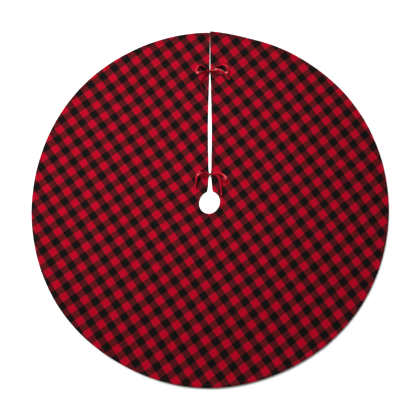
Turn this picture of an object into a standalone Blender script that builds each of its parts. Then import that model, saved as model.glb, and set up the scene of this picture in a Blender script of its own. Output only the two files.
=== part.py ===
"""A round Christmas tree skirt of checked cloth, lying flat, with two ribbon bows that tie its slit shut.

Metres, +Z up. The origin is at the middle of the round cloth, on the surface that it lies on.
+Y runs from the centre hole along the slit to the rim. Left is -X and right is +X.
"""

import math

import bmesh
import bpy
from mathutils import Vector

MM = 0.001
GAP = 0.3 * MM  # between pieces that touch

# The cloth: one round piece, its raw edges turned under all round as a hem.
SKIRT_RADIUS = 609.6 * MM
CLOTH = 1.8 * MM
HEM = 2.6 * MM
HEM_WIDTH = 10 * MM
HEM_SLOPE = 1.5 * MM
# The rim is a little uneven: how many waves go round it, how far they reach, and where one peaks.
RIM_WAVES = (
    (2, 1.1 * MM, 30),
    (3, 1.2 * MM, -13),
    (4, 0.7 * MM, 26),
    (6, 1.2 * MM, 28),
    (8, 0.5 * MM, -2),
)
RIM_STEPS = 120
# To the right of the slit the rim's corner stands proud, and the stretch beyond it is drawn in:
# how far along the rim, how far in or out, and how long a stretch.
RIM_TUGS = ((0, 4.6 * MM, 45 * MM), (145 * MM, -3.2 * MM, 65 * MM))

HOLE_CENTRE = Vector((-1.5 * MM, 0.3 * MM))
HOLE_RADIUS = 36.8 * MM
HOLE_STRETCH = 2.0 * MM  # how far the hole is pulled out of round
HOLE_STRETCH_ANGLE = 68
HOLE_CORNER = 22  # degrees from the slit's middle to where the hole's round edge starts
HOLE_STEPS = 30

# The slit: the gap between its edges at some distances from the middle, before the bows draw it in.
SLIT = (
    (40, 18.6),
    (47, 15.4),
    (60, 12.8),
    (80, 10.1),
    (98, 8.6),
    (140, 10.1),
    (200, 12.5),
    (260, 13.4),
    (330, 10.9),
    (400, 7.2),
    (450, 4.3),
    (490, 2.5),
    (540, 2.0),
    (575, 1.1),
    (609.6, 0.6),
)
SLIT_STEP = 10 * MM
SLIT_SWAY = -0.5 * MM  # the gap's middle moves this far sideways between the bows

# The ribbon ties.
RIBBON = 9.5 * MM
RIBBON_THICK = 1.0 * MM
WAIST = 3.4 * MM  # the ribbon's width where a knot gathers it
GATHER = 16 * MM  # how far from a knot the ribbon has spread to its full width
RIBBON_STEP = 3.2 * MM
END_SLANT = 0.55  # the slanted cut of a free end, as length for each width
SEWN_END = (12 * MM, 6 * MM)  # length and width of the end that is sewn to the hem
SEWN_RISE = (1.4 * MM, 1.6 * MM)  # how far it has risen at the knot's mouth, and inside it

# A knot: the right tie wraps round as an oval band, and the left tie passes into it.
KNOT_HEIGHT = 6.4 * MM
BAND_HALF = 3.0 * MM
BAND_OUTER = (3.6 * MM, 3.3 * MM)
BAND_INNER = (2.6 * MM, 2.3 * MM)
LEFT_PLUG = (2.1 * MM, 1.8 * MM)
RIGHT_PLUG = (2.9 * MM, 2.6 * MM)
LEFT_PLUG_FACE = 1.0 * MM  # the two plugs face each other inside the band
RIGHT_PLUG_FACE = 1.4 * MM
PLUG_END = 5.6 * MM
OVAL_SIDES = 12

# Each bow: how far its knot is from the middle, how much it draws the slit in, and how far up and
# down the slit that reaches. A route's points are the middle of the ribbon from the knot outwards:
# x and y from the knot, the height above the floor, and how far the ribbon leans over, in degrees.
BOWS = {
    "upper": {
        "knot": 466.5 * MM,
        "pinch": 2.0 * MM,
        "pinch_reach": 9 * MM,
        "left_loop": (
            (-4.2, 0.9, 6.6, 80),
            (-9, 5.2, 7.2, 70),
            (-16, 11.5, 7.2, 62),
            (-24, 17.8, 6.9, 55),
            (-32, 21, 6.6, 50),
            (-40.5, 18, 6.4, 44),
            (-46, 9.5, 6.6, 40),
            (-47, 0, 6.6, 24),
            (-42.5, -6.5, 6.4, 14),
            (-34, -8.6, 6.6, 38),
            (-24, -7.2, 7.0, 54),
            (-13, -4.0, 7.2, 70),
            (-4.2, -0.9, 6.6, 80),
        ),
        "left_tail": (
            (-4.2, -0.8, 5.8, -70),
            (-8.5, -6.5, 6.8, -60),
            (-14.5, -15.5, 6.6, -55),
            (-22, -27, 6.8, -58),
            (-29.5, -38.5, 7.0, -62),
            (-32, -49, 7.1, -64),
            (-29.5, -60, 7.0, -62),
            (-26, -72.5, 6.6, -54),
        ),
        "right_loop": (
            (4.2, 1.0, 6.6, -80),
            (9, 6.3, 7.2, -70),
            (16, 11.5, 7.4, -64),
            (25, 16.3, 7.4, -58),
            (34, 20, 7.2, -54),
            (43.5, 22, 6.8, -46),
            (52.5, 21.3, 6.2, -26),
            (60, 16.5, 6.8, -18),
            (64.3, 9, 8.0, -22),
            (64.5, 1, 8.2, -24),
            (60.5, -5.5, 7.0, -4),
            (52, -8, 5.2, 0),
            (40, -6.3, 4.6, -12),
            (26, -3.6, 5.4, -40),
            (13, -1.9, 6.4, -65),
            (4.2, -0.9, 6.4, -80),
        ),
        "right_tail": (
            (4.2, 0.2, 7.6, -60),
            (9, 2.2, 8.8, -40),
            (19, 3.6, 10.2, -20),
            (30, 2.0, 10.6, -4),
            (41, -3.0, 9.8, 14),
            (51, -10, 8.4, 42),
            (58.5, -17.5, 7.0, 54),
            (64.5, -24.5, 6.6, 50),
            (70, -30, 5.4, 26),
        ),
    },
    "lower": {
        "knot": 97.5 * MM,
        "pinch": 5.0 * MM,
        "pinch_reach": 8 * MM,
        "left_loop": (
            (-4.2, 0.9, 6.6, 80),
            (-10, 6.8, 7.2, 66),
            (-17, 12.2, 7.2, 72),
            (-25, 15.6, 7.2, 72),
            (-33, 13.2, 7.0, 66),
            (-37, 5.5, 6.8, 60),
            (-34, -3, 6.6, 55),
            (-27, -9, 6.8, 60),
            (-19, -9.5, 7.0, 66),
            (-11, -5.5, 7.0, 74),
            (-4.2, -0.9, 6.6, 80),
        ),
        "left_tail": (
            (-4.2, 0.2, 7.4, -50),
            (-10, 1.4, 9.0, -44),
            (-18, 2.6, 10.6, -38),
            (-27, 2.4, 11.8, -26),
            (-36, 0.8, 12.2, -8),
            (-43.5, -3.6, 11.2, 14),
            (-46.6, -11.5, 9.2, 38),
            (-47, -22, 7.6, 56),
            (-48, -34, 7.2, 66),
            (-49.3, -47, 7.2, 68),
        ),
        "right_loop": (
            (4.2, 0.9, 6.6, -80),
            (11, 3.8, 7.0, -60),
            (21, 5.4, 6.2, -44),
            (32, 3.8, 6.2, -38),
            (42, -1, 6.4, -26),
            (50, -8, 7.8, -8),
            (54, -16, 9.6, -2),
            (51.5, -23, 9.0, -22),
            (45, -24.5, 7.6, -44),
            (36.5, -19, 7.0, -56),
            (27, -11.5, 7.0, -66),
            (15, -5, 7.0, -74),
            (4.2, -0.9, 6.6, -80),
        ),
        "right_tail": (
            (4.2, 0, 7.6, 50),
            (11, -0.6, 9.6, 46),
            (19, -2.6, 11.4, 42),
            (26.5, -7.5, 12.4, 38),
            (31.8, -15.5, 11.8, 38),
            (35, -26, 9.6, 42),
            (36.8, -38, 7.6, 54),
            (38.2, -50, 7.2, 62),
            (39.4, -62, 7.0, 62),
            (40, -74, 6.6, 56),
        ),
    },
}

CLOTH_RED = (0.30, 0.012, 0.03, 1)
SATIN_RED = (0.55, 0.008, 0.03, 1)


def clear_scene():
    for old in list(bpy.data.objects):
        bpy.data.objects.remove(old, do_unlink=True)


def material(name, colour, roughness):
    made = bpy.data.materials.new(name)
    made.use_nodes = True
    shader = made.node_tree.nodes["Principled BSDF"]
    shader.inputs["Base Color"].default_value = colour
    shader.inputs["Roughness"].default_value = roughness
    shader.inputs["Metallic"].default_value = 0
    return made


def new_object(name, bm, finish):
    """An object from bm, its faces turned outwards."""
    bmesh.ops.recalc_face_normals(bm, faces=bm.faces)
    mesh = bpy.data.meshes.new(name)
    bm.to_mesh(mesh)
    bm.free()
    mesh.materials.append(finish)
    made = bpy.data.objects.new(name, mesh)
    bpy.context.scene.collection.objects.link(made)
    return made


def between(before, start, end, after, t):
    """The point t of the way from start to end on a Catmull-Rom curve."""
    return (
        start
        + (end - before) * (0.5 * t)
        + (before * 2 - start * 5 + end * 4 - after) * (0.5 * t**2)
        + (start * 3 - before - end * 3 + after) * (0.5 * t**3)
    )


def smooth_curve(points, step):
    """Points about a step apart on the smooth curve through the given ones. The lean goes with them."""
    points = [Vector(p) for p in points]
    ends = [points[0] * 2 - points[1], *points, points[-1] * 2 - points[-2]]
    curve = []
    for i in range(len(points) - 1):
        length = (points[i + 1].to_3d() - points[i].to_3d()).length
        count = max(1, round(length / step))
        curve += [between(*ends[i : i + 4], k / count) for k in range(count)]
    return [*curve, points[-1]]


def fade(distance, reach):
    """1 at no distance, falling smoothly to almost 0 past the reach."""
    return math.exp(-((distance / reach) ** 2))


def rim_radius(angle):
    """The cloth's radius at an angle from +X, in degrees."""
    angle %= 360
    radius = SKIRT_RADIUS
    for count, height, peak in RIM_WAVES:
        radius += height * math.cos(count * math.radians(angle - peak))
    if angle <= 90:
        along = math.radians(90 - angle) * SKIRT_RADIUS
        for place, tug, reach in RIM_TUGS:
            radius += tug * fade(along - place, reach)
    return radius


def slit_gap(y):
    """The gap between the slit's edges at a distance from the middle."""
    for (low, low_gap), (high, high_gap) in zip(SLIT, SLIT[1:]):
        if y <= high * MM:
            break
    part = (y / MM - low) / (high - low)
    part = part * part * (3 - 2 * part)
    gap = (low_gap + (high_gap - low_gap) * part) * MM
    for bow in BOWS.values():
        gap -= bow["pinch"] * fade(y - bow["knot"], bow["pinch_reach"])
    return gap


def slit_edge(side):
    """The points of one edge of the slit, from the hole to the rim. side is -1 for left and 1 for right."""
    start, end = SLIT[0][0] * MM, SLIT[-1][0] * MM
    count = round((end - start) / SLIT_STEP)
    bows = sorted(bow["knot"] for bow in BOWS.values())
    points = []
    for i in range(count):
        y = start + (end - start) * i / count
        between_bows = max(0, min(1, (y - bows[0]) / (bows[1] - bows[0])))
        middle = SLIT_SWAY * math.sin(math.pi * between_bows)
        points.append(Vector((middle + side * slit_gap(y) / 2, y)))
    corner = 90 - side * math.degrees(slit_gap(end) / 2 / SKIRT_RADIUS)
    points.append(on_rim(corner))
    return points


def round_point(angle, radius):
    return Vector((radius * math.cos(math.radians(angle)), radius * math.sin(math.radians(angle))))


def on_rim(angle):
    return round_point(angle, rim_radius(angle))


def cloth_outline():
    """The cloth's edge, anticlockwise from the left-hand corner of the slit."""
    rim = [on_rim(90 + 360 * i / RIM_STEPS) for i in range(1, RIM_STEPS)]
    hole = []
    for i in range(HOLE_STEPS + 1):
        angle = 90 - HOLE_CORNER - (360 - 2 * HOLE_CORNER) * i / HOLE_STEPS
        radius = HOLE_RADIUS + HOLE_STRETCH * math.cos(2 * math.radians(angle - HOLE_STRETCH_ANGLE))
        hole.append(HOLE_CENTRE + round_point(angle, radius))
    return rim + slit_edge(1)[::-1] + hole + slit_edge(-1)


def skirt_cloth(finish):
    """The flat cloth, with the hem as a thicker band along its edge."""
    bm = bmesh.new()
    outline = cloth_outline()
    bottom = bm.faces.new([bm.verts.new((p.x, p.y, 0)) for p in outline])
    top = bmesh.ops.extrude_face_region(bm, geom=[bottom], use_keep_orig=True)["geom"]
    raised = [v for v in top if isinstance(v, bmesh.types.BMVert)]
    bmesh.ops.translate(bm, verts=raised, vec=(0, 0, HEM))
    upper = [f for f in top if isinstance(f, bmesh.types.BMFace)]
    bmesh.ops.recalc_face_normals(bm, faces=bm.faces)
    bmesh.ops.inset_region(bm, faces=upper, thickness=HEM_WIDTH, use_even_offset=True, use_boundary=True)
    bmesh.ops.inset_region(
        bm, faces=upper, thickness=HEM_SLOPE, depth=CLOTH - HEM, use_even_offset=True, use_boundary=True
    )
    return new_object("skirt_cloth", bm, finish)


def loft(bm, rings):
    """Joins rings of points, each with the same count, into a closed body with flat ends."""
    rings = [[bm.verts.new(p) for p in ring] for ring in rings]
    for ring, following in zip(rings, rings[1:]):
        for k in range(len(ring)):
            n = (k + 1) % len(ring)
            bm.faces.new((ring[k], ring[n], following[n], following[k]))
    bm.faces.new(rings[0][::-1])
    bm.faces.new(rings[-1])


def ribbon_width(distance):
    """The ribbon's width at a distance from the knot: gathered there, and spread out further off."""
    part = min(1, distance / GATHER)
    return WAIST + (RIBBON - WAIST) * part * part * (3 - 2 * part)


def ribbon(name, route, knot, finish, both_ends_at_knot):
    """A strip of ribbon along a route. A loop has both ends at the knot; a tail has a slanted free end."""
    points = smooth_curve([(x * MM, y * MM, z * MM, lean) for x, y, z, lean in route], RIBBON_STEP)
    middle = [p.to_3d() for p in points]
    along = [0]
    for a, b in zip(middle, middle[1:]):
        along.append(along[-1] + (b - a).length)
    rings = []
    for i, point in enumerate(middle):
        ahead = (middle[min(i + 1, len(middle) - 1)] - middle[max(i - 1, 0)]).normalized()
        side = Vector((0, 0, 1)).cross(ahead).normalized()
        lean = math.radians(points[i][3])
        across = side * math.cos(lean) + ahead.cross(side) * math.sin(lean)
        face = ahead.cross(across)
        to_knot = min(along[i], along[-1] - along[i]) if both_ends_at_knot else along[i]
        half = across * ribbon_width(to_knot) / 2
        free_end = i == len(middle) - 1 and not both_ends_at_knot
        slant = ahead * RIBBON * END_SLANT / 2 if free_end else Vector()
        thick = face * RIBBON_THICK / 2
        lowest = HEM + GAP + abs(half.z) + abs(thick.z)
        centre = Vector((point.x, point.y + knot, max(point.z, lowest)))
        rings.append(
            [
                centre - half - slant - thick,
                centre + half + slant - thick,
                centre + half + slant + thick,
                centre - half - slant + thick,
            ]
        )
    bm = bmesh.new()
    loft(bm, rings)
    return new_object(name, bm, finish)


def oval(x, knot, radii):
    """An oval ring of points round the knot's axis, which runs along X."""
    turns = [2 * math.pi * k / OVAL_SIDES for k in range(OVAL_SIDES)]
    return [(x, knot + radii[0] * math.cos(t), KNOT_HEIGHT + radii[1] * math.sin(t)) for t in turns]


def plug(name, start, end, radii, knot, finish):
    """A solid oval length of gathered ribbon."""
    bm = bmesh.new()
    loft(bm, [oval(start, knot, radii), oval(end, knot, radii)])
    return new_object(name, bm, finish)


def band(name, knot, finish):
    """The turn of ribbon that wraps the knot, open at both ends."""
    bm = bmesh.new()
    rings = [
        oval(-BAND_HALF, knot, BAND_OUTER),
        oval(BAND_HALF, knot, BAND_OUTER),
        oval(BAND_HALF, knot, BAND_INNER),
        oval(-BAND_HALF, knot, BAND_INNER),
    ]
    rings = [[bm.verts.new(p) for p in ring] for ring in rings]
    for ring, following in zip(rings, rings[1:] + rings[:1]):
        for k in range(OVAL_SIDES):
            n = (k + 1) % OVAL_SIDES
            bm.faces.new((ring[k], ring[n], following[n], following[k]))
    return new_object(name, bm, finish)


def sewn_end(name, side, knot, finish):
    """The short end of a tie that is sewn flat on the hem, and rises into the knot."""
    length, width = SEWN_END
    low = HEM + GAP
    rings = []
    mouth, inside = SEWN_RISE
    flat_to, risen_from = PLUG_END + MM, PLUG_END - MM
    for x, lift in ((length, 0), (flat_to, 0), (risen_from, mouth), (risen_from - MM, inside)):
        part = width / 2 if lift == 0 else WAIST / 2
        low_z, high_z = low + lift, low + lift + RIBBON_THICK
        x = side * x
        rings.append(
            [
                (x, knot - part, low_z),
                (x, knot + part, low_z),
                (x, knot + part, high_z),
                (x, knot - part, high_z),
            ]
        )
    bm = bmesh.new()
    loft(bm, rings)
    return new_object(name, bm, finish)


def join(body, pieces):
    """Unites the pieces with the body. They stay as hidden helpers."""
    for piece in pieces:
        union = body.modifiers.new("with " + piece.name, "BOOLEAN")
        union.operation = "UNION"
        union.solver = "MANIFOLD"
        union.object = piece
        piece.hide_render = True
        piece.display_type = "WIRE"
    return body


def tie(bow_name, side_name, finish):
    """One ribbon tie: its sewn end, its part of the knot, its loop and its free tail, in one piece."""
    bow = BOWS[bow_name]
    knot, side = bow["knot"], -1 if side_name == "left" else 1
    name = f"tie_{bow_name}_{side_name}"
    loop = ribbon(name, bow[side_name + "_loop"], knot, finish, True)
    tail = ribbon(name + "_tail", bow[side_name + "_tail"], knot, finish, False)
    pieces = [tail, sewn_end(name + "_sewn_end", side, knot, finish)]
    if side_name == "left":
        pieces.append(plug(name + "_plug", -PLUG_END, LEFT_PLUG_FACE, LEFT_PLUG, knot, finish))
    else:
        pieces.append(plug(name + "_plug", RIGHT_PLUG_FACE, PLUG_END, RIGHT_PLUG, knot, finish))
        pieces.append(band(name + "_band", knot, finish))
    return join(loop, pieces)


def build():
    clear_scene()
    skirt_cloth(material("checked cloth", CLOTH_RED, 0.9))
    satin = material("satin ribbon", SATIN_RED, 0.35)
    for bow_name in BOWS:
        for side_name in ("left", "right"):
            tie(bow_name, side_name, satin)


build()
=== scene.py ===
import math

import bpy
import numpy as np
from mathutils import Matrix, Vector, noise
from mathutils.geometry import delaunay_2d_cdt


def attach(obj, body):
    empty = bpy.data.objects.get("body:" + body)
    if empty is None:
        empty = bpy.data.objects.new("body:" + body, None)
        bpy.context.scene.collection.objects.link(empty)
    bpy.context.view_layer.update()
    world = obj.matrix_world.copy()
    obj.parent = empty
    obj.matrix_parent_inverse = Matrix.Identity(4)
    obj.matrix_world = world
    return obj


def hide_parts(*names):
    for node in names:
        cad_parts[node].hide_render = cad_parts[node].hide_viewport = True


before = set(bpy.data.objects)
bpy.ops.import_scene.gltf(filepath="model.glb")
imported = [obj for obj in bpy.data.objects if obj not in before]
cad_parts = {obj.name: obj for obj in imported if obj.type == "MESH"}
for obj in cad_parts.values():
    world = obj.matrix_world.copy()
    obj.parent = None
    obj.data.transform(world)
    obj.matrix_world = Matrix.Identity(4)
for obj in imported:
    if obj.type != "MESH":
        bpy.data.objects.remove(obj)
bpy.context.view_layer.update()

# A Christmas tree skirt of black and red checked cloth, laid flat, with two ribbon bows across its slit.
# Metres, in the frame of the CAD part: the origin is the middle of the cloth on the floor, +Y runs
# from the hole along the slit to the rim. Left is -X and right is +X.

MM = 0.001

# The cloth, as the CAD part has it. Its rim is a little uneven: how many waves go round it, how far
# they reach, and where one peaks.
SKIRT_RADIUS = 609.6 * MM
RIM_WAVES = (
    (2, 1.1 * MM, 30),
    (3, 1.2 * MM, -13),
    (4, 0.7 * MM, 26),
    (6, 1.2 * MM, 28),
    (8, 0.5 * MM, -2),
)
# To the right of the slit the rim's corner stands proud, and the stretch beyond it is drawn in:
# how far along the rim, how far in or out, and how long a stretch.
RIM_TUGS = ((0, 4.6 * MM, 45 * MM), (145 * MM, -3.2 * MM, 65 * MM))
HOLE_CENTRE = Vector((-1.5 * MM, 0.3 * MM))
HOLE_RADIUS = 36.8 * MM
HOLE_STRETCH = 2.0 * MM  # how far the hole is pulled out of round
HOLE_STRETCH_ANGLE = 68
# The slit: the gap between its edges at some distances from the middle, in millimetres, before the bows
# draw it in.
SLIT = (
    (36, 24),
    (40, 18.6),
    (47, 15.4),
    (60, 12.8),
    (80, 10.1),
    (98, 8.6),
    (140, 10.1),
    (200, 12.5),
    (260, 13.4),
    (330, 10.9),
    (400, 7.2),
    (450, 4.3),
    (490, 2.5),
    (540, 2.0),
    (575, 1.1),
    (609.6, 0.6),
)
SLIT_SWAY = -0.5 * MM  # the gap's middle moves this far sideways between the bows
CORNER_TRIES = 8  # enough to settle where the slit's edge meets the hole

# The mesh of the cloth: points about this far apart along its edge and over its middle.
EDGE_STEP = 3.2 * MM
TOP_STEP = 5.6 * MM
UNDER_STEP = 12 * MM
MIDDLE_CLEAR = 0.6  # how far the middle's points keep from the loop round them, in steps
INSIDE = 1  # the kind of triangulation that fills a loop and nothing outside it
NEAR = 1e-9  # points nearer to each other than this count as one

# The hem turned under: its width at the rim, and at the slit and the hole.
RIM_HEM = 12 * MM
SLIT_HEM = 8 * MM
CLOTH = 1.8 * MM
STITCH_LINE = 0.9  # where the hem is stitched down, as a share of its width
HEM_CREST = 2.66 * MM  # the highest that the hem stands
# The top across the hem, from the edge in: a share of the hem's width, a distance more, and the height.
HEM_TOP = (
    (0, 0, 1.20 * MM),
    (0, 0.25 * MM, 1.95 * MM),
    (0, 0.8 * MM, 2.40 * MM),
    (0, 1.9 * MM, 2.60 * MM),
    (0.45, 0, HEM_CREST),
    (0.75, 0, 2.55 * MM),
    (STITCH_LINE, -0.8 * MM, 2.35 * MM),
    (STITCH_LINE, 0, 2.00 * MM),
    (STITCH_LINE, 0.8 * MM, 2.25 * MM),
    (1, 0.9 * MM, 2.10 * MM),
    (1, 2.4 * MM, 1.86 * MM),
    (1, 5.0 * MM, CLOTH),
)
# The underside likewise, with the groove at the inner edge of the turned-under cloth.
HEM_UNDER = (
    (0, 0.25 * MM, 0.40 * MM),
    (0, 1.0 * MM, 0),
    (1, 0, 0),
    (1, 0.2 * MM, 0.8 * MM),
    (1, 0.9 * MM, 0.8 * MM),
    (1, 1.3 * MM, 0),
    (1, 6.0 * MM, 0),
)

# The checks, woven of black and red yarns: the length of one repeat and the direction it runs in, for
# the yarns one way and the other, and where the pattern stands at the cloth's middle.
WARP = {"repeat": 51.3 * MM, "runs": 35.35, "starts": 0.366}
WEFT = {"repeat": 48.7 * MM, "runs": -53.15, "starts": 0.538}
# How far the lying cloth is out of true at the rim: drawn along x and y, skewed, and parted at the slit.
WARP_DRAWN = {"x": -2 * MM, "skew": -9.2 * MM, "y": 4 * MM, "slit": 6.6 * MM}
WEFT_DRAWN = {"x": 8.8 * MM, "skew": 9.8 * MM, "y": 7.8 * MM, "slit": 8.6 * MM}
SLIT_REACH = 0.4  # how far from the slit the parting carries, as a share of the radius
# Where a hand has pulled it while laying it out: x, y, how far the pull carries, and how far it draws the
# warp and the weft, in millimetres.
PULLS = (
    (-40, 10, 75, 0, -8),
    (-110, 110, 110, 0, -6),
    (-200, 240, 110, 0, -3.5),
    (-350, 430, 110, 0, -5),
    (-40, 420, 100, 3, 4.5),
    (-65, -45, 80, -4, 0),
    (60, 470, 110, 3.5, 0),
    (30, 490, 60, 0, -3.5),
    (590, -130, 100, 5.5, 0),
    (570, 120, 120, 0, -3.5),
    (160, -590, 100, -4, 0),
)
PULL_SIDE = 6 * MM  # a pull fades over this distance at the slit's line
YARNS = 84  # in one repeat, half of them red

# The ties' ribbon.
RIBBON = 9.5 * MM
RIBBON_THICK = 0.26 * MM
RIBBON_STEP = 1.25 * MM
RIBBON_COLUMNS = 12
GATHERED = 2.5 * MM  # the ribbon's width where a knot gathers it
GATHER = 15 * MM  # the stretch that it spreads out again over
GATHER_CORE = 0.12  # the share of that stretch, next to the knot, where it doesn't spread yet
PLEATS = 3
PLEAT_DEPTH = 0.75 * MM
CUP = 0.45 * MM  # how far the ribbon's edges curl
CUP_MEAN = 0.33  # the curl's mean, taken off so that the ribbon keeps its height
SEWN_LENGTH = 5 * MM  # the flat stretch at a tie's sewn end
SEWN_SPREAD = 0.55  # how much of its full width it has there
END_SLANT = 0.55  # the slanted cut of a free end, as length for each width
KNOT_HEIGHT = 6.4 * MM
STEP_OVER = 0.15 * MM  # what a ribbon clears the cloth by

# Each bow: how far its knot is from the middle, how much it draws the slit in, how far up and down the
# slit that reaches, and the routes of its ties in millimetres from the knot: x, y, the height above the
# floor, and how far the ribbon leans over, in degrees. A tie goes from its sewn end through the knot,
# round its loop, through the knot again and out to its free end.
BOWS = {
    "upper": {
        "knot": 466.5 * MM,
        "pinch": 2.0 * MM,
        "pinch_reach": 9 * MM,
        "left_loop": (
            (-4.2, 0.9, 6.6, 80),
            (-9, 5.2, 7.2, 70),
            (-16, 11.5, 7.2, 62),
            (-24, 17.8, 6.9, 55),
            (-32, 21, 6.6, 50),
            (-40.5, 18, 6.4, 44),
            (-46, 9.5, 6.6, 40),
            (-47, 0, 6.6, 24),
            (-42.5, -6.5, 6.4, 14),
            (-34, -8.6, 6.6, 38),
            (-24, -7.2, 7.0, 54),
            (-13, -4.0, 7.2, 70),
            (-4.2, -0.9, 6.6, 80),
        ),
        "left_tail": (
            (-4.2, -0.8, 5.8, -70),
            (-8.5, -6.5, 6.8, -60),
            (-14.5, -15.5, 6.6, -55),
            (-22, -27, 6.8, -58),
            (-29.5, -38.5, 7.0, -62),
            (-32, -49, 7.1, -64),
            (-29.5, -60, 7.0, -62),
            (-26, -72.5, 6.6, -54),
        ),
        "right_loop": (
            (4.2, 1.0, 6.6, -80),
            (9, 6.3, 7.2, -70),
            (16, 11.5, 7.4, -64),
            (25, 16.3, 7.4, -58),
            (34, 20, 7.2, -54),
            (43.5, 22, 6.8, -46),
            (52.5, 21.3, 6.2, -26),
            (60, 16.5, 6.8, -18),
            (64.3, 9, 8.0, -22),
            (64.5, 1, 8.2, -24),
            (60.5, -5.5, 7.0, -4),
            (52, -8, 5.2, 0),
            (40, -6.3, 4.6, -12),
            (26, -3.6, 5.4, -40),
            (13, -1.9, 6.4, -65),
            (4.2, -0.9, 6.4, -80),
        ),
        "right_tail": (
            (4.2, 0.2, 7.6, -60),
            (9, 2.2, 8.8, -40),
            (19, 3.6, 10.2, -20),
            (30, 2.0, 10.6, -4),
            (41, -3.0, 9.8, 14),
            (51, -10, 8.4, 42),
            (58.5, -17.5, 7.0, 54),
            (64.5, -24.5, 6.6, 50),
            (70, -30, 5.4, 26),
        ),
    },
    "lower": {
        "knot": 97.5 * MM,
        "pinch": 5.0 * MM,
        "pinch_reach": 8 * MM,
        "left_loop": (
            (-4.2, 0.9, 6.6, 80),
            (-10, 6.8, 7.2, 66),
            (-17, 12.2, 7.2, 72),
            (-25, 15.6, 7.2, 72),
            (-33, 13.2, 7.0, 66),
            (-37, 5.5, 6.8, 60),
            (-34, -3, 6.6, 55),
            (-27, -9, 6.8, 60),
            (-19, -9.5, 7.0, 66),
            (-11, -5.5, 7.0, 74),
            (-4.2, -0.9, 6.6, 80),
        ),
        "left_tail": (
            (-4.2, 0.2, 7.4, -50),
            (-10, 1.4, 9.0, -44),
            (-18, 2.6, 10.6, -38),
            (-27, 2.4, 11.8, -26),
            (-36, 0.8, 12.2, -8),
            (-43.5, -3.6, 11.2, 14),
            (-46.6, -11.5, 9.2, 38),
            (-47, -22, 7.6, 56),
            (-48, -34, 7.2, 66),
            (-49.3, -47, 7.2, 68),
        ),
        "right_loop": (
            (4.2, 0.9, 6.6, -80),
            (11, 3.8, 7.0, -60),
            (21, 5.4, 6.2, -44),
            (32, 3.8, 6.2, -38),
            (42, -1, 6.4, -26),
            (50, -8, 7.8, -8),
            (54, -16, 9.6, -2),
            (51.5, -23, 9.0, -22),
            (45, -24.5, 7.6, -44),
            (36.5, -19, 7.0, -56),
            (27, -11.5, 7.0, -66),
            (15, -5, 7.0, -74),
            (4.2, -0.9, 6.6, -80),
        ),
        "right_tail": (
            (4.2, 0, 7.6, 50),
            (11, -0.6, 9.6, 46),
            (19, -2.6, 11.4, 42),
            (26.5, -7.5, 12.4, 38),
            (31.8, -15.5, 11.8, 38),
            (35, -26, 9.6, 42),
            (36.8, -38, 7.6, 54),
            (38.2, -50, 7.2, 62),
            (39.4, -62, 7.0, 62),
            (40, -74, 6.6, 56),
        ),
    },
}
# A tie's sewn end on the hem and its turns inside the knot, for the right side; the left is mirrored.
SEWN_END = ((13, 0, 3.1, 0), (9.5, 0, 3.2, 0), (6.6, -0.2, 4.0, 0), (4.0, -0.8, 5.0, 0))
FIRST_TURN = ((1.4, -1.3, 5.6, 0), (-0.4, -0.1, 6.3, 0), (1.3, 1.2, 6.9, 0))
SECOND_TURN = ((1.5, -1.2, 6.8, 0), (0.2, -0.2, 6.9, 0), (1.6, 0.5, 7.0, 0))


def fade(distance, reach):
    """1 at no distance, falling smoothly to almost 0 past the reach."""
    return math.exp(-((distance / reach) ** 2))


def ease(part):
    """0 to 1, with a soft start and end."""
    part = max(0, min(1, part))
    return part * part * (3 - 2 * part)


# The outline of the cloth.


def rim_radius(angle):
    """The cloth's radius at an angle from +X, in degrees."""
    angle %= 360
    radius = SKIRT_RADIUS
    for count, height, peak in RIM_WAVES:
        radius += height * math.cos(count * math.radians(angle - peak))
    if angle <= 90:
        along = math.radians(90 - angle) * SKIRT_RADIUS
        for place, tug, reach in RIM_TUGS:
            radius += tug * fade(along - place, reach)
    return radius


def slit_gap(y):
    """The gap between the slit's edges at a distance from the middle of the cloth."""
    for (low, low_gap), (high, high_gap) in zip(SLIT, SLIT[1:]):
        if y <= high * MM:
            break
    gap = (low_gap + (high_gap - low_gap) * ease((y / MM - low) / (high - low))) * MM
    for bow in BOWS.values():
        gap -= bow["pinch"] * fade(y - bow["knot"], bow["pinch_reach"])
    return gap


def slit_middle(y):
    """How far the gap's middle is moved sideways at a distance from the middle of the cloth."""
    lower, upper = BOWS["lower"]["knot"], BOWS["upper"]["knot"]
    return SLIT_SWAY * math.sin(math.pi * max(0, min(1, (y - lower) / (upper - lower))))


def hole_radius(angle):
    """The hole's radius at an angle from +X, in degrees."""
    return HOLE_RADIUS + HOLE_STRETCH * math.cos(2 * math.radians(angle - HOLE_STRETCH_ANGLE))


def corner(side, at_rim, at_slit):
    """Where the slit's edge, moved in, meets the rim and the hole: the rim's angle, the heights of both
    ends along +Y, and the hole's angle."""
    away = slit_gap(SKIRT_RADIUS) / 2 + at_slit
    rim_angle = 90 - side * math.degrees(math.asin(away / (SKIRT_RADIUS - at_rim)))
    high = (rim_radius(rim_angle) - at_rim) * math.sin(math.radians(rim_angle))
    low = HOLE_RADIUS
    for _ in range(CORNER_TRIES):
        across = slit_middle(low) + side * (slit_gap(low) / 2 + at_slit) - HOLE_CENTRE.x
        hole_angle = math.degrees(math.atan2(low - HOLE_CENTRE.y, across))
        low = HOLE_CENTRE.y + math.sqrt((hole_radius(hole_angle) + at_slit) ** 2 - across**2)
    return rim_angle, high, low, hole_angle


def steps(start, end, length):
    """Numbers from start towards end, as many as a stretch of edge this long has points."""
    count = round(length / EDGE_STEP)
    return [start + (end - start) * i / count for i in range(count)]


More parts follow.
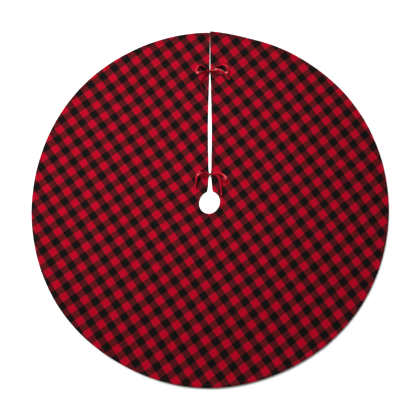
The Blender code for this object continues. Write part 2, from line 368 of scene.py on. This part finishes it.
def inset_loop(share, more):
    """The cloth's edge moved inwards, anticlockwise from the left-hand corner of the slit. Every such
    loop has the same number of points, so that two of them join with a strip of faces."""
    at_rim, at_slit = share * RIM_HEM + more, share * SLIT_HEM + more
    left_rim, left_high, left_low, left_hole = corner(-1, at_rim, at_slit)
    right_rim, right_high, right_low, right_hole = corner(1, at_rim, at_slit)
    slit_length = SKIRT_RADIUS - HOLE_RADIUS
    points = []
    for angle in steps(left_rim, right_rim + 360, 2 * math.pi * SKIRT_RADIUS):
        radius, turn = rim_radius(angle) - at_rim, math.radians(angle)
        points.append((radius * math.cos(turn), radius * math.sin(turn)))
    for y in steps(right_high, right_low, slit_length):
        points.append((slit_middle(y) + slit_gap(y) / 2 + at_slit, y))
    for angle in steps(right_hole, left_hole - 360, 2 * math.pi * HOLE_RADIUS):
        radius, turn = hole_radius(angle) + at_slit, math.radians(angle)
        points.append((HOLE_CENTRE.x + radius * math.cos(turn), HOLE_CENTRE.y + radius * math.sin(turn)))
    for y in steps(left_low, left_high, slit_length):
        points.append((slit_middle(y) - slit_gap(y) / 2 - at_slit, y))
    return points


def well_inside(x, y, at_rim, at_slit):
    """Whether a point is further from the rim, the slit and the hole than these distances."""
    if math.hypot(x, y) > rim_radius(math.degrees(math.atan2(y, x))) - at_rim:
        return False
    away = Vector((x, y)) - HOLE_CENTRE
    if away.length < hole_radius(math.degrees(math.atan2(away.y, away.x))) + at_slit:
        return False
    return y < 0 or abs(x - slit_middle(y)) > slit_gap(y) / 2 + at_slit


def middle_points(share, more, step):
    """Points in staggered rows over the middle of the cloth, clear of the loop with that inset."""
    more += MIDDLE_CLEAR * step
    at_rim, at_slit = share * RIM_HEM + more, share * SLIT_HEM + more
    row_step = step * math.sqrt(3) / 2
    rows = math.ceil(SKIRT_RADIUS / row_step)
    points = []
    for row in range(-rows, rows + 1):
        y = row * row_step
        shift = 0.5 * (row % 2)
        for column in range(-rows, rows + 1):
            x = (column + shift) * step
            if well_inside(x, y, at_rim, at_slit):
                points.append((x, y))
    return points


# How the cloth lies: soft ridges, each by the angle that it lies at, in degrees, and by the radii that
# it runs between, its height and its half width, in millimetres.
RIDGES = (
    (14, 400, 585, 1.5, 26),
    (38, 330, 600, 1.1, 34),
    (63, 430, 608, 1.3, 22),
    (112, 440, 606, 1.2, 24),
    (133, 350, 590, 1.4, 32),
    (158, 410, 607, 1.0, 26),
    (187, 300, 596, 1.3, 36),
    (211, 440, 608, 1.5, 24),
    (236, 370, 590, 1.1, 30),
    (262, 420, 607, 1.4, 27),
    (284, 320, 585, 1.0, 38),
    (309, 430, 608, 1.7, 25),
    (334, 380, 600, 1.2, 31),
    (352, 450, 607, 1.1, 21),
)
RIDGE_BEND = 6  # how far a ridge winds to each side, in millimetres
RIDGE_BEND_LENGTH = 55  # and the length that it winds over
RIDGE_INNER_END = 22  # how softly it starts
RIDGE_OUTER_END = 14  # and ends
SWELLS = ((0.45, 210, 20), (0.35, 150, 98), (0.3, 115, 149))  # height and length in mm, and direction
# Round the lower side the rim springs up a little: about which angle, how far round, how much and how
# far in.
RIM_SPRING = (296, 80, 3.0 * MM, 42 * MM)
PUCKER = 0.16 * MM  # how uneven the sewn hem is
PUCKER_LENGTH = 9 * MM
TIED_REACH = 95 * MM  # the bows lie on cloth that is pressed flat this far out


def lift(points):
    """How far the cloth stands off the floor at each of the points."""
    x, y = np.array(points).T
    height = np.zeros(len(x))
    for size, length, direction in SWELLS:
        turn = math.radians(direction)
        wave = np.sin(2 * np.pi * (x * math.cos(turn) + y * math.sin(turn)) / (length * MM))
        height += size * MM * (0.5 + 0.5 * wave)
    for angle, inner, outer, size, half in RIDGES:
        turn = math.radians(angle)
        out = (x * math.cos(turn) + y * math.sin(turn)) / MM
        aside = (y * math.cos(turn) - x * math.sin(turn)) / MM
        bend = RIDGE_BEND * np.sin(out / RIDGE_BEND_LENGTH + angle)
        begun = 1 / (1 + np.exp((inner - out) / RIDGE_INNER_END))
        ended = 1 / (1 + np.exp((out - outer) / RIDGE_OUTER_END))
        height += size * MM * begun * ended * np.exp(-(((aside - bend) / half) ** 2))
    for bow in BOWS.values():
        height *= 1 - np.exp(-((x**2 + (y - bow["knot"]) ** 2) / TIED_REACH**2))
    angle, half, size, reach = RIM_SPRING
    round_rim = (np.degrees(np.arctan2(y, x)) - angle + 180) % 360 - 180
    from_rim = np.maximum(0, SKIRT_RADIUS - np.hypot(x, y))
    return height + size * np.exp(-((round_rim / half) ** 4) - (from_rim / reach) ** 2)


def hem_pucker(x, y):
    """How far the sewn hem is pulled up or down at a place."""
    return PUCKER * noise.noise(Vector((x, y, 0)) / PUCKER_LENGTH)


def drawn(points, which):
    """The place of each point in one set of yarns, in repeats, as the lying cloth draws the pattern:
    in the warp if which is 0, and in the weft if it is 1."""
    pattern, pull = ((WARP, WARP_DRAWN), (WEFT, WEFT_DRAWN))[which]
    x, y = np.array(points).T
    turn = math.radians(pattern["runs"])
    east, north = x / SKIRT_RADIUS, y / SKIRT_RADIUS
    parted = np.sign(x) * np.clip(north, 0, 1) * np.exp(-np.abs(east) / SLIT_REACH)
    shift = pull["x"] * east**2 + pull["skew"] * east * north + pull["y"] * north**2 + pull["slit"] * parted
    for place_x, place_y, reach, *pulled in PULLS:
        near = np.exp(-((x / MM - place_x) ** 2 + (y / MM - place_y) ** 2) / reach**2)
        same_side = 1 / (1 + np.exp(-math.copysign(1, place_x) * x / PULL_SIDE))
        shift += pulled[which] * MM * near * same_side
    return (x * math.cos(turn) + y * math.sin(turn) + shift) / pattern["repeat"] + pattern["starts"]


def mesh_object(name, vertices, faces, finish):
    """A smooth mesh of one material. All of it belongs to the part's one body."""
    mesh = bpy.data.meshes.new(name)
    mesh.from_pydata(vertices, [], faces)
    mesh.materials.append(finish)
    mesh.shade_smooth()
    made = bpy.data.objects.new(name, mesh)
    bpy.context.scene.collection.objects.link(made)
    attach(made, "root")
    return made


def set_map(made, name, places):
    """A UV map from one place for each vertex."""
    layer = made.data.uv_layers.new(name=name)
    corners = np.empty(len(made.data.loops), np.int32)
    made.data.loops.foreach_get("vertex_index", corners)
    layer.uv.foreach_set("vector", np.asarray(places, np.float32)[corners].ravel())


def strips(first, second, count, flip):
    """The faces between two closed loops of points that start at these indices."""
    faces = []
    for i in range(count):
        n = (i + 1) % count
        face = (first + i, first + n, second + n, second + i)
        faces.append(face[::-1] if flip else face)
    return faces


def tube(start, ring, rings, flip):
    """The faces of a tube with closed ends, made of so many rings of points from an index on."""
    faces = []
    for low in range(start, start + (rings - 1) * ring, ring):
        faces += strips(low, low + ring, ring, flip)
    first = tuple(range(start, start + ring))
    last = tuple(range(start + (rings - 1) * ring, start + rings * ring))
    return faces + ([first, last[::-1]] if flip else [first[::-1], last])


def fill(flat, loop_start, count, added, flip):
    """The triangles that fill a closed loop of points, through the added points inside it."""
    chosen = list(range(loop_start, loop_start + count)) + added
    places = [Vector(flat[i]) for i in chosen]
    _, _, found, made_from, _, _ = delaunay_2d_cdt(places, [], [list(range(count))], INSIDE, NEAR)
    source = [chosen[first[0]] for first in made_from]
    triangles = [tuple(source[i] for i in face) for face in found]
    return [face[::-1] for face in triangles] if flip else triangles


def skirt_cloth(finish):
    """The cloth as a thin closed sheet with its edge turned under and stitched down."""
    flat, heights, faces = [], [], []
    for under, profile, step in ((False, HEM_TOP, TOP_STEP), (True, HEM_UNDER, UNDER_STEP)):
        before = 0
        for share, more, height in profile:
            start = len(flat)
            loop = inset_loop(share, more)
            flat += loop
            heights += [height if under else height + hem_pucker(x, y) for x, y in loop]
            if start > 0:
                faces += strips(before, start, len(loop), under)
            before = start
        share, more, height = profile[-1]
        middle = middle_points(share, more, step)
        added = list(range(len(flat), len(flat) + len(middle)))
        flat += middle
        heights += [height] * len(middle)
        faces += fill(flat, before, len(loop), added, under)
    heights = np.array(heights) + lift(flat)
    vertices = [(x, y, z) for (x, y), z in zip(flat, heights)]
    made = mesh_object("skirt_checked_cloth", vertices, faces, finish)
    set_map(made, "yarns", np.stack([drawn(flat, 0), drawn(flat, 1)], axis=1))
    return made


def cloth_top(x, y):
    """What a ribbon has to clear at a place: the hem's crest, on the cloth as it lies there."""
    return HEM_CREST + float(lift([(x, y)])[0])


# The stitching of the hem and of the ties' sewn ends.

STITCH = 3.2 * MM  # from one stitch to the next
STITCH_SHARE = 0.74  # how much of each step a stitch covers
THREAD = 0.42 * MM
SEAM_LEVEL = 2.0 * MM  # the top of the cloth under the seam
STITCH_SIDES = 6  # round a stitch
# The rings of points along a stitch: how far from its middle and how thick, as shares of the whole.
STITCH_RINGS = ((-0.5, 0.05), (-0.42, 0.7), (-0.2, 1), (0.2, 1), (0.42, 0.7), (0.5, 0.05))
STITCH_RISE = 0.35  # how far its middle stands above the cloth, in thicknesses of the thread
STITCH_DIP = 1.6  # and how steeply it dips from there
TACK_ROWS = (10.9 * MM, 12.2 * MM)  # how far from the slit's middle a tie is tacked down
TACKS = 4
TACK_STEP = 1.5 * MM
TACK_LEVEL = 3.2 * MM  # the top of the ribbon there


def even_steps(loop, step):
    """Places a step apart along a closed loop, with the loop's direction there."""
    loop = [Vector(p) for p in loop]
    total = sum((b - a).length for a, b in zip(loop, loop[1:] + loop[:1]))
    step = total / round(total / step)
    found, along = [], 0
    for a, b in zip(loop, loop[1:] + loop[:1]):
        length = (b - a).length
        while along < length:
            found.append((a + (b - a) * (along / length), (b - a) / length))
            along += step
        along -= length
    return found


def hem_seam():
    """The stitches of the hem's one seam: the middle of each on the cloth, and its direction."""
    places = even_steps(inset_loop(STITCH_LINE, 0), STITCH)
    lifts = lift([(place.x, place.y) for place, _ in places])
    return [(Vector((*place, SEAM_LEVEL + rise)), ahead) for (place, ahead), rise in zip(places, lifts)]


def tacks():
    """The rows of stitches that hold each tie's sewn end down, likewise."""
    ahead = Vector((0, 1))
    found = []
    for bow in BOWS.values():
        for side in (-1, 1):
            for row in TACK_ROWS:
                for k in range(TACKS):
                    y = bow["knot"] + (k - (TACKS - 1) / 2) * TACK_STEP
                    found.append((Vector((side * row, y, TACK_LEVEL)), ahead))
    return found


def stitch(middle, ahead, length, vertices, faces):
    """Adds a short thread that dips into the cloth at its ends."""
    side = Vector((-ahead.y, ahead.x))
    start = len(vertices)
    for share, thick in STITCH_RINGS:
        centre = middle.xy + ahead * (share * length)
        top = middle.z + THREAD * (STITCH_RISE - STITCH_DIP * share**2)
        for k in range(STITCH_SIDES):
            turn = 2 * math.pi * k / STITCH_SIDES
            point = centre + side * (THREAD / 2 * thick * math.cos(turn))
            vertices.append((point.x, point.y, top + THREAD / 2 * thick * math.sin(turn)))
    faces += tube(start, STITCH_SIDES, len(STITCH_RINGS), True)


def stitching(finish):
    """All the sewing: the hem's seam and the tacks."""
    vertices, faces = [], []
    for middle, ahead in hem_seam():
        stitch(middle, ahead, STITCH * STITCH_SHARE, vertices, faces)
    for middle, ahead in tacks():
        stitch(middle, ahead, TACK_STEP * STITCH_SHARE, vertices, faces)
    return mesh_object("hem_stitching", vertices, faces, finish)


# The ribbon ties.


def between(before, start, end, after, t):
    """The point t of the way from start to end on a Catmull-Rom curve."""
    return (
        start
        + (end - before) * (0.5 * t)
        + (before * 2 - start * 5 + end * 4 - after) * (0.5 * t**2)
        + (start * 3 - before - end * 3 + after) * (0.5 * t**3)
    )


def smooth_curve(points, step):
    """Points about a step apart on the smooth curve through the given ones. The lean goes with them."""
    points = [Vector(p) for p in points]
    ends = [points[0] * 2 - points[1], *points, points[-1] * 2 - points[-2]]
    curve = []
    for i in range(len(points) - 1):
        length = (points[i + 1].to_3d() - points[i].to_3d()).length
        count = max(1, round(length / step))
        curve += [between(*ends[i : i + 4], k / count) for k in range(count)]
    return [*curve, points[-1]]


def tie_route(bow_name, side_name):
    """The whole route of one tie, from its sewn end to its free end."""
    bow, side = BOWS[bow_name], -1 if side_name == "left" else 1
    ends = []
    for part in (SEWN_END, FIRST_TURN, SECOND_TURN):
        ends.append([(side * x, y, z, lean) for x, y, z, lean in part])
    sewn, first, second = ends
    route = [*sewn, *first, *bow[side_name + "_loop"], *second, *bow[side_name + "_tail"]]
    route = [(x * MM, y * MM + bow["knot"], z * MM, lean) for x, y, z, lean in route]
    return smooth_curve(route, RIBBON_STEP)


def ribbon_lie(middle, i, lean):
    """How a ribbon lies at a point of its middle line: the ways ahead, across and out of its face."""
    ahead = (middle[min(i + 1, len(middle) - 1)] - middle[max(i - 1, 0)]).normalized()
    side = Vector((0, 0, 1)).cross(ahead).normalized()
    turn = math.radians(lean)
    across = side * math.cos(turn) + ahead.cross(side) * math.sin(turn)
    return ahead, across, ahead.cross(across)


def ribbon_section(spread, sewn):
    """The points round a ribbon's section, by how far across it and how far off its middle they are."""
    section = []
    for side in (1, -1):
        columns = range(RIBBON_COLUMNS + 1)
        for column in columns if side > 0 else reversed(columns):
            s = 2 * column / RIBBON_COLUMNS - 1
            pleat = PLEAT_DEPTH * (1 - spread) * (1 - sewn) * math.cos(PLEATS * math.pi * s)
            curl = CUP * spread * (1 - sewn) * (s * s - CUP_MEAN)
            section.append((s, pleat + curl + side * RIBBON_THICK / 2))
    return section


def tie(bow_name, side_name, finish):
    """One tie: a single ribbon, gathered into pleats where it passes the knot."""
    points = tie_route(bow_name, side_name)
    middle = [p.to_3d() for p in points]
    knot = Vector((0, BOWS[bow_name]["knot"], KNOT_HEIGHT))
    vertices, places, path = [], [], []
    along = 0
    for i, point in enumerate(middle):
        along += (point - middle[max(i - 1, 0)]).length
        ahead, across, face = ribbon_lie(middle, i, points[i].w)
        spread = ease((point - knot).length / GATHER - GATHER_CORE)
        sewn = 1 - ease(along / SEWN_LENGTH)
        half = across * (GATHERED + (RIBBON - GATHERED) * max(spread, SEWN_SPREAD * sewn)) / 2
        slant = ahead * RIBBON * END_SLANT / 2 if i == len(middle) - 1 else Vector()
        lowest = cloth_top(point.x, point.y) + STEP_OVER + abs(half.z) + RIBBON_THICK
        centre = Vector((point.x, point.y, max(point.z, lowest)))
        path.append(centre)
        for s, off in ribbon_section(spread, sewn):
            vertices.append(centre + half * s + slant * s + face * off)
            places.append((0.5 + 0.5 * s, along))
    faces = tube(0, 2 * (RIBBON_COLUMNS + 1), len(middle), False)
    made = mesh_object(f"tie_{bow_name}_{side_name}_ribbon", vertices, faces, finish)
    set_map(made, "ribbon", places)
    return made, path


# The knots: the turn of ribbon that wraps each bow's middle.

WRAP_HALF = 3.2 * MM  # half its width
WRAP_OUTER = (3.5 * MM, 3.3 * MM)  # how far its outside is from the knot's middle, across and up
WRAP_THICK = 0.9 * MM
WRAP_EDGE = 0.05  # the share of that left at its edges, squared
WRAP_ROUND = 0.7 * MM  # how far its outside is rounded off towards its edges
WRAP_ROUND_END = 0.98  # how much of a half circle the rounding is
WRAP_TILT = 0.22  # how far the wrap slants round the knot
WRAP_CREASES = 3
WRAP_CREASE = 0.14 * MM
WRAP_CREASE_SWING = 0.8  # how far the creases wander from side to side, in radians
WRAP_TURNS = 48
WRAP_COLUMNS = 14


def wrap(bow_name, finish):
    """A ribbon drawn tight round the knot, creased along its length."""
    knot = BOWS[bow_name]["knot"]
    vertices, places = [], []
    profile = [(2 * k / WRAP_COLUMNS - 1, True) for k in range(WRAP_COLUMNS + 1)]
    profile += [(s, False) for s, _ in profile[::-1]]
    for turn in range(WRAP_TURNS):
        t = 2 * math.pi * turn / WRAP_TURNS
        for s, outside in profile:
            if outside:
                wander = WRAP_CREASE_SWING * math.sin(t)
                crease = WRAP_CREASE * math.cos(WRAP_CREASES * math.pi * s + wander) * (1 - s**4)
                out = WRAP_ROUND * (math.sqrt(1 - (WRAP_ROUND_END * s) ** 2) - 1) + crease
            else:
                out = -WRAP_THICK * math.sqrt(max(WRAP_EDGE, 1 - s**4))
            x = WRAP_HALF * s + WRAP_TILT * WRAP_OUTER[0] * math.cos(t)
            across, up = WRAP_OUTER[0] + out, WRAP_OUTER[1] + out
            vertices.append((x, knot + across * math.cos(t), KNOT_HEIGHT + up * math.sin(t)))
            places.append((0.5 + 0.5 * s, 2 * math.pi * WRAP_OUTER[0] * turn / WRAP_TURNS))
    ring = len(profile)
    faces = []
    for turn in range(WRAP_TURNS):
        faces += strips(turn * ring, (turn + 1) % WRAP_TURNS * ring, ring, True)
    made = mesh_object(f"knot_{bow_name}_wrap", vertices, faces, finish)
    set_map(made, "ribbon", places)
    return made


# The materials.


class Nodes:
    """A material's node tree, built up a node at a time."""

    def __init__(self, name):
        self.material = bpy.data.materials.new(name)
        self.material.use_nodes = True
        self.tree = self.material.node_tree
        self.shader = self.tree.nodes["Principled BSDF"]

    def add(self, kind, **settings):
        """A new node with these settings."""
        node = self.tree.nodes.new(kind)
        for setting, value in settings.items():
            setattr(node, setting, value)
        return node

    def feed(self, socket, value):
        """Links value to the socket, or sets it there if it is a number or a colour."""
        if isinstance(value, bpy.types.NodeSocket):
            self.tree.links.new(value, socket)
        else:
            socket.default_value = value

    def maths(self, operation, *values, clamp=False):
        """What the operation makes of the values."""
        node = self.add("ShaderNodeMath", operation=operation, use_clamp=clamp)
        for socket, value in zip(node.inputs, values):
            self.feed(socket, value)
        return node.outputs[0]

    def span(self, share, low, high):
        """A number that goes from low to high as share goes from 0 to 1."""
        return self.maths("MULTIPLY_ADD", share, high - low, low)

    def mix(self, share, first, second):
        """The first where share is 0, and the second where it is 1. They are colours if the first is a
        tuple, and numbers otherwise."""
        colours = isinstance(first, tuple)
        node = self.add("ShaderNodeMix", data_type="RGBA" if colours else "FLOAT")
        ports = (0, 6, 7) if colours else (0, 2, 3)
        for port, value in zip(ports, (share, first, second)):
            self.feed(node.inputs[port], value)
        return node.outputs[2 if colours else 0]

    def map(self, name):
        """The two coordinates of a UV map."""
        split = self.add("ShaderNodeSeparateXYZ")
        self.tree.links.new(self.add("ShaderNodeUVMap", uv_map=name).outputs[0], split.inputs[0])
        return split.outputs[0], split.outputs[1]

    def noise(self, scale, detail):
        """A noise texture, with its one number first and its three unlike ones as a colour."""
        node = self.add("ShaderNodeTexNoise")
        node.inputs["Scale"].default_value = scale
        node.inputs["Detail"].default_value = detail
        self.tree.links.new(self.add("ShaderNodeTexCoord").outputs["Object"], node.inputs["Vector"])
        return node.outputs

    def blotches(self, scale, detail):
        """One noise, from 0 to 1."""
        return self.noise(scale, detail)[0]

    def strays(self, scale, detail):
        """Three unlike noises, from 0 to 1."""
        split = self.add("ShaderNodeSeparateXYZ")
        self.tree.links.new(self.noise(scale, detail)["Color"], split.inputs[0])
        return split.outputs

    def vary(self, colour, factor):
        """The colour made lighter or darker."""
        node = self.add("ShaderNodeVectorMath", operation="SCALE")
        self.feed(node.inputs[0], colour[:3] if isinstance(colour, tuple) else colour)
        self.feed(node.inputs["Scale"], factor)
        return node.outputs[0]

    def bump(self, height, distance, strength):
        """Raises the surface by the distance where the height is 1."""
        node = self.add("ShaderNodeBump")
        node.inputs["Strength"].default_value = strength
        node.inputs["Distance"].default_value = distance
        self.tree.links.new(height, node.inputs["Height"])
        self.tree.links.new(node.outputs[0], self.shader.inputs["Normal"])

    def finish(self, colour, **constants):
        """Sets the shader's colour and its other sockets by name, and gives the material."""
        self.feed(self.shader.inputs["Base Color"], colour)
        for name, value in constants.items():
            self.shader.inputs[name.replace("_", " ")].default_value = value
        return self.material


RED_YARN = (0.315, 0.0010, 0.012, 1)
BLACK_YARN = (0.0046, 0.0038, 0.0036, 1)
# Painted light: the warp's dulled red is lighter than the weft's, as the light falls on the twill's floats.
DULLED_WARP = (0.143, 0.006, 0.010, 1)  # red floats between black yarns
DULLED_WEFT = (0.118, 0.006, 0.010, 1)
RED_SHARE = 0.5  # the share of a repeat's yarns that are red, half of them on each side of its start
TWILL = 4  # the weave repeats over this many yarns
TWILL_OVER = 2  # and a warp yarn passes over this many of them
NAP_SCALE = 1800  # the brushed fibres that blur the checks' edges: how fine they are
NAP_REACH = 11  # and how many yarns they reach over, at most
FUZZ_SCALE = 1500
MOTTLE_SCALE = 45
FUZZ_RISE = 0.7  # how high the fuzz stands beside the yarns
YARN_BUMP = 0.16 * MM
# How much darker and lighter the cloth gets: painted shade in the gaps between yarns and a painted
# highlight on their tops, from yarn to yarn, painted light where the warp is on top and painted shade where
# the weft is, with the fuzz, and in wide soft patches.
PAINTED_YARN_SHADING = (0.76, 1.12)
TINT_SHADE = (0.93, 1.07)
# Painted light on the warp's floats and painted shade on the weft's.
WARP_WEFT_PAINTED_LIGHT = (0.96, 1.04)
FUZZ_SHADE = (0.85, 1.15)
MOTTLE_SHADE = (0.92, 1.08)


def checked_cloth():
    """Twill of red and black yarns. Where red crosses black, the floats make fine slanting lines."""
    n = Nodes("checked_cloth")
    places = n.map("yarns")
    counts = [n.maths("MULTIPLY", place, YARNS) for place in places]
    yarns = [n.maths("FLOOR", count) for count in counts]
    inside = [n.maths("FRACT", count) for count in counts]
    red = []
    for yarn, stray in zip(yarns, n.strays(NAP_SCALE, detail=3.0)):
        place = n.maths("MULTIPLY_ADD", stray, NAP_REACH, n.maths("ADD", yarn, 0.5 - NAP_REACH / 2))
        place = n.maths("FRACT", n.maths("ADD", n.maths("DIVIDE", place, YARNS), RED_SHARE / 2))
        red.append(n.maths("LESS_THAN", place, RED_SHARE))
    diagonal = n.maths("FLOORED_MODULO", n.maths("ADD", *yarns), TWILL)
    warp_over = n.maths("LESS_THAN", diagonal, TWILL_OVER)
    shows_red = n.mix(warp_over, red[1], red[0])
    mixed = n.maths("ABSOLUTE", n.maths("SUBTRACT", *red))
    # Painted light: the warp's floats are lighter than the weft's.
    dulled = n.mix(warp_over, DULLED_WEFT, DULLED_WARP)
    colour = n.mix(shows_red, BLACK_YARN, n.mix(mixed, RED_YARN, dulled))

    rounds, tints = [], []
    for yarn, part in zip(yarns, inside):
        from_middle = n.maths("MULTIPLY_ADD", part, 2, -1)
        rounds.append(n.maths("SUBTRACT", 1, n.maths("POWER", from_middle, 2)))
        white = n.add("ShaderNodeTexWhiteNoise", noise_dimensions="1D")
        n.feed(white.inputs["W"], yarn)
        tints.append(white.outputs["Value"])
    rounded = n.mix(warp_over, rounds[1], rounds[0])
    tint = n.mix(warp_over, tints[1], tints[0])
    fuzz = n.blotches(FUZZ_SCALE, detail=3.0)
    # Painted shade in the gaps between yarns, and a painted highlight on their tops.
    shade = n.span(rounded, *PAINTED_YARN_SHADING)
    for more in (
        n.span(tint, *TINT_SHADE),
        # Painted light where the warp is on top, painted shade where the weft is.
        n.mix(warp_over, *WARP_WEFT_PAINTED_LIGHT),
        n.span(fuzz, *FUZZ_SHADE),
        n.span(n.blotches(MOTTLE_SCALE, detail=3.0), *MOTTLE_SHADE),
    ):
        shade = n.maths("MULTIPLY", shade, more)
    n.bump(n.maths("ADD", rounded, n.maths("MULTIPLY", fuzz, FUZZ_RISE)), YARN_BUMP, strength=0.5)
    return n.finish(n.vary(colour, shade), Roughness=0.95, Specular_IOR_Level=0.035)


SATIN_RED = (0.33, 0.002, 0.012, 1)
SATIN_SHINE = (1, 0.5, 0.56, 1)
FLOATS = 34  # how many lengthwise floats lie side by side across the ribbon
FLOAT_RISE = 0.25
WOVEN_EDGE = 0.455  # how far from the ribbon's middle its woven edge starts, in widths
WOVEN_EDGE_STEP = 120  # how sharply
EDGE_CORD = 0.7 * MM  # the length of one cord along that edge
EDGE_RISE = 1.2
EDGE_CORD_RISE = 0.3
EDGE_SHADE = 0.8
STREAK_SCALE = 210
STREAK_SHADE = (0.85, 1.15)
SATIN_BUMP = 0.06 * MM


def satin():
    """Satin ribbon: fine lengthwise floats that draw its shine out across it, and a narrow woven edge."""
    n = Nodes("satin_ribbon")
    across, along = n.map("ribbon")
    floats = n.maths("SINE", n.maths("MULTIPLY", across, 2 * math.pi * FLOATS))
    from_middle = n.maths("ABSOLUTE", n.maths("SUBTRACT", across, 0.5))
    past_start = n.maths("SUBTRACT", from_middle, WOVEN_EDGE)
    edge = n.maths("MULTIPLY", past_start, WOVEN_EDGE_STEP, clamp=True)
    cords = n.maths("SINE", n.maths("MULTIPLY", along, 2 * math.pi / EDGE_CORD))
    cord_height = n.maths("MULTIPLY_ADD", cords, EDGE_CORD_RISE, EDGE_RISE)
    height = n.mix(edge, n.maths("MULTIPLY", floats, FLOAT_RISE), cord_height)
    shade = n.span(n.blotches(STREAK_SCALE, detail=2.0), *STREAK_SHADE)
    shade = n.mix(edge, shade, n.maths("MULTIPLY", shade, EDGE_SHADE))
    n.bump(height, SATIN_BUMP, strength=0.4)
    way = n.add("ShaderNodeTangent", direction_type="UV_MAP", uv_map="ribbon")
    n.tree.links.new(way.outputs[0], n.shader.inputs["Tangent"])
    return n.finish(
        n.vary(SATIN_RED, shade),
        Roughness=0.27,
        Specular_IOR_Level=0.5,
        Specular_Tint=SATIN_SHINE,
        Anisotropic=0.5,
    )


THREAD_RED = (0.13, 0.004, 0.012, 1)
THREAD_SCALE = 2600
THREAD_SHADE = (0.75, 1.25)


def sewing_thread():
    """Dark red thread, mottled as twisted thread is."""
    n = Nodes("sewing_thread")
    shade = n.span(n.blotches(THREAD_SCALE, detail=1.0), *THREAD_SHADE)
    return n.finish(n.vary(THREAD_RED, shade), Roughness=0.6, Specular_IOR_Level=0.2)


FLOOR_WHITE = (0.93, 0.93, 0.93, 1)
FLOOR_SCALE = 3
FLOOR_SHADE = (0.99, 1.0)


def white_floor():
    """Matt white, all but even."""
    n = Nodes("white_floor")
    shade = n.span(n.blotches(FLOOR_SCALE, detail=2.0), *FLOOR_SHADE)
    return n.finish(n.vary(FLOOR_WHITE, shade), Roughness=0.9, Specular_IOR_Level=0.0)


# The camera, the floor and the light.

CAMERA_PLACE = (0.5 * MM, -201.5 * MM, 1542.4 * MM)
CAMERA_TILT = 6.5  # degrees from straight down
SENSOR = 36  # the camera's own millimetres, as is the lens
LENS = 38.99
FLOOR_SIZE = 14
FLOOR_DROP = 0.2 * MM  # keeps the floor just clear of the cloth's underside
# A broad sun from the upper left, low enough to leave a soft shadow past the lower rim.
SUN_FROM = (-0.42, 0.9, 0.75)
SUN_POWER = 4.9
SUN_ANGLE = 35
# A soft pool of light to the left of the middle.
POOL_FROM = (-0.8, 0.6, 2.6)
POOL_AT = (-0.3, 0.3, 0)
POOL_POWER = 180
POOL_CONE = 42
POOL_SIZE = 0.25
SKY = 0.185  # how bright the surroundings light the scene; they look white themselves


def camera():
    """The camera, above the cloth and a little to the side away from the slit."""
    data = bpy.data.cameras.new("camera")
    data.sensor_width = SENSOR
    data.lens = LENS
    made = bpy.data.objects.new("camera", data)
    made.location = CAMERA_PLACE
    made.rotation_euler = (math.radians(CAMERA_TILT), 0, 0)
    bpy.context.scene.collection.objects.link(made)
    bpy.context.scene.camera = made


def floor():
    """A wide white floor for the cloth to lie on."""
    bpy.ops.mesh.primitive_plane_add(size=FLOOR_SIZE, location=(0, 0, -FLOOR_DROP))
    made = bpy.context.object
    made.name = "floor"
    made.data.materials.append(white_floor())


def aim(made, place, target):
    """Puts a light in its place and turns it to its target."""
    made.location = place
    made.rotation_euler = (Vector(target) - Vector(place)).to_track_quat("-Z", "Y").to_euler()
    bpy.context.scene.collection.objects.link(made)


def lights():
    """The broad sun and the soft pool of light."""
    sun = bpy.data.lights.new("sun", "SUN")
    sun.energy = SUN_POWER
    sun.angle = math.radians(SUN_ANGLE)
    aim(bpy.data.objects.new("sun", sun), SUN_FROM, (0, 0, 0))
    pool = bpy.data.lights.new("pool", "SPOT")
    pool.energy = POOL_POWER
    pool.spot_size = math.radians(POOL_CONE)
    pool.spot_blend = 1
    pool.shadow_soft_size = POOL_SIZE
    aim(bpy.data.objects.new("pool", pool), POOL_FROM, POOL_AT)


def surroundings():
    """White all round to look at, and dim as a light."""
    world = bpy.data.worlds.new("studio")
    world.use_nodes = True
    tree = world.node_tree
    seen = tree.nodes.new("ShaderNodeLightPath")
    strength = tree.nodes.new("ShaderNodeMapRange")
    strength.inputs["To Min"].default_value = SKY
    strength.inputs["To Max"].default_value = 1
    tree.links.new(seen.outputs["Is Camera Ray"], strength.inputs["Value"])
    background = tree.nodes["Background"]
    background.inputs["Color"].default_value = (1, 1, 1, 1)
    tree.links.new(strength.outputs[0], background.inputs["Strength"])
    bpy.context.scene.world = world
    bpy.context.scene.view_settings.view_transform = "Standard"


camera()

ribbon_finish = satin()
cloth_finish = checked_cloth()
thread_finish = sewing_thread()

for bow_name in BOWS:
    knot_wrap = wrap(bow_name, ribbon_finish)
    for side_name in ("left", "right"):
        ribbon, path = tie(bow_name, side_name, ribbon_finish)
        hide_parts(f"tie_{bow_name}_{side_name}")

cloth = skirt_cloth(cloth_finish)
stitches = stitching(thread_finish)
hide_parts("skirt_cloth")

floor()
lights()
surroundings()
